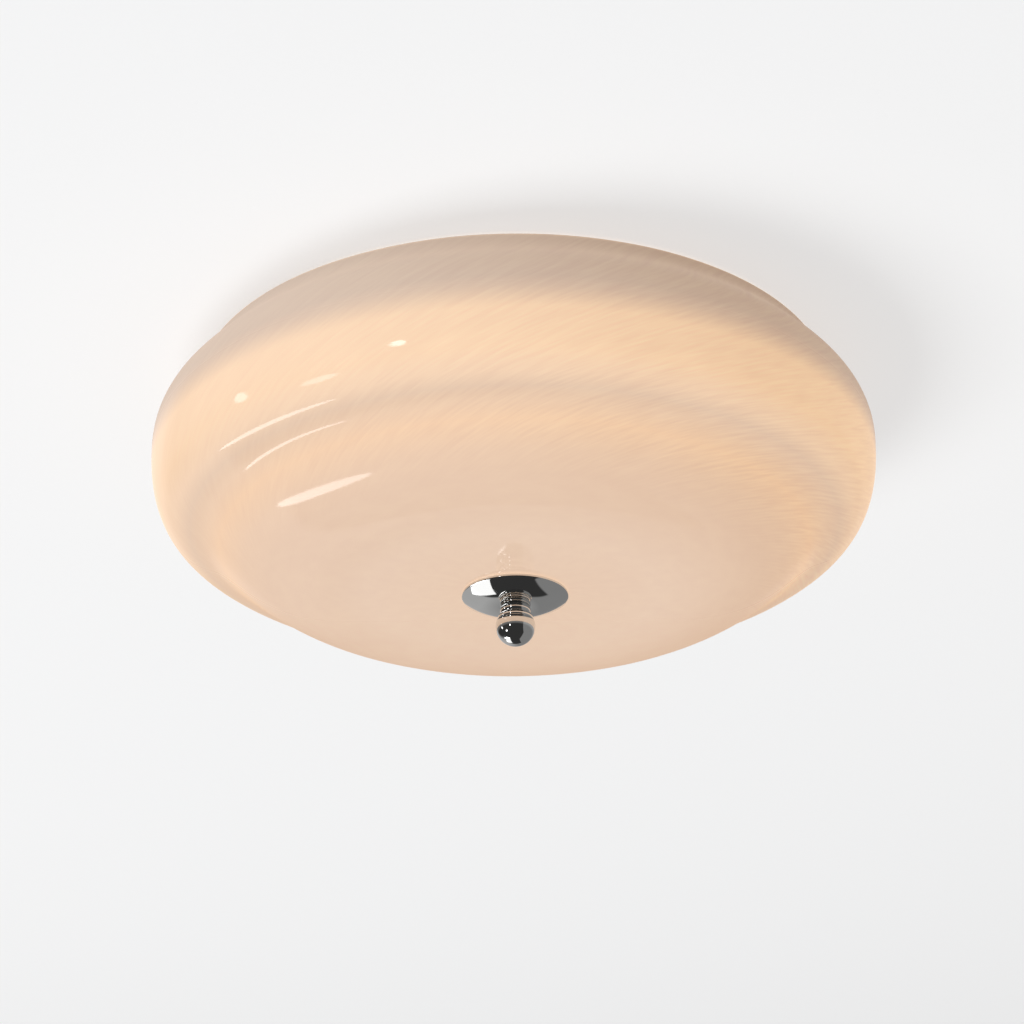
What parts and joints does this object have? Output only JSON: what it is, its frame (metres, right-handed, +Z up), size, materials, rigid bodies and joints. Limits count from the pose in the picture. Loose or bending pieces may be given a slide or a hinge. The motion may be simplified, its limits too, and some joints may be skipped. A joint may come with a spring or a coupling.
{
  "type": "ceiling light",
  "caption": "Flush ceiling light: a stepped bowl of blown opal glass clamped to a centre rod by a chrome cap and ball knob, under a white pan with push-in bulbs.",
  "frame": {"origin": "middle of the mounting strap's upper face, on the ceiling", "axes": "+Z up into the ceiling, +X along the mounting strap, and the light hangs in -Z"},
  "size_m": [0.4, 0.4, 0.1522],
  "materials": {
    "opal_glass": "opal, polished",
    "chrome": "polished",
    "white_paint": "satin",
    "zinc_steel": "zinc plated",
    "brass": "satin",
    "clear_rubber": "matte",
    "black_rubber": "matte",
    "white_plastic": "matte",
    "holder_ceramic": "matte",
    "frosted_glass": "frosted",
    "lead_sleeve": "woven sleeve"
  },
  "bodies": {
    "fixture": {"mounting_bracket": "zinc_steel", "bracket_studs": "zinc_steel", "stud_lock_nuts": "zinc_steel", "earth_screw": "brass", "earth_washer": "brass", "ceiling_pan": "white_paint", "stud_washers": "zinc_steel", "cap_nuts": "zinc_steel", "center_rod": "zinc_steel", "rod_washers": "zinc_steel", "rod_nuts": "zinc_steel", "shade_stop_nut": "zinc_steel", "inner_washer": "zinc_steel", "inner_gasket": "clear_rubber", "terminal_block": "white_plastic", "terminal_clamp_screws": "brass", "terminal_fixing_screw": "zinc_steel", "terminal_fixing_nut": "zinc_steel", "lead_grommets": "black_rubber", "holder_screws": "zinc_steel", "holder_nuts": "zinc_steel", "holder_lead_1": "lead_sleeve", "holder_lead_2": "lead_sleeve", "holder_lead_3": "lead_sleeve", "holder_lead_4": "lead_sleeve", "lamp_holder_1": "holder_ceramic", "lamp_holder_2": "holder_ceramic", "lamp_holder_3": "holder_ceramic", "lamp_holder_4": "holder_ceramic"},
    "shade": {"glass_shade": "opal_glass"},
    "cap": {"finial_cap": "chrome", "cap_gasket": "clear_rubber"},
    "knob": {"finial_knob": "chrome"},
    "bulb_1": {"bulb_1_base": "white_plastic", "bulb_1_pins": "zinc_steel", "bulb_1_capsule": "frosted_glass"},
    "bulb_2": {"bulb_2_base": "white_plastic", "bulb_2_pins": "zinc_steel", "bulb_2_capsule": "frosted_glass"},
    "bulb_3": {"bulb_3_base": "white_plastic", "bulb_3_pins": "zinc_steel", "bulb_3_capsule": "frosted_glass"},
    "bulb_4": {"bulb_4_base": "white_plastic", "bulb_4_pins": "zinc_steel", "bulb_4_capsule": "frosted_glass"}
  },
  "joints": [
    {"name": "shade_lower", "type": "slide", "parent": "fixture", "child": "shade", "axis": [0, 0, -1], "range_m": [0, 0.15]},
    {"name": "cap_drop", "type": "slide", "parent": "shade", "child": "cap", "axis": [0, 0, -1], "range_m": [0, 0.012]},
    {"name": "knob_turn", "type": "hinge", "parent": "cap", "child": "knob", "pos_m": [0, 0, -0.142], "axis": [0, 0, -1], "range_deg": [0, 4321]},
    {"name": "bulb_1_pull", "type": "slide", "parent": "fixture", "child": "bulb_1", "axis": [0, 0, -1], "range_m": [0, 0.0105]},
    {"name": "bulb_2_pull", "type": "slide", "parent": "fixture", "child": "bulb_2", "axis": [0, 0, -1], "range_m": [0, 0.0105]},
    {"name": "bulb_3_pull", "type": "slide", "parent": "fixture", "child": "bulb_3", "axis": [0, 0, -1], "range_m": [0, 0.0105]},
    {"name": "bulb_4_pull", "type": "slide", "parent": "fixture", "child": "bulb_4", "axis": [0, 0, -1], "range_m": [0, 0.0105]}
  ],
  "couplings": [
    {"joint": "knob_turn", "follows": "cap_drop", "rad_per_m": 6283.2}
  ]
}
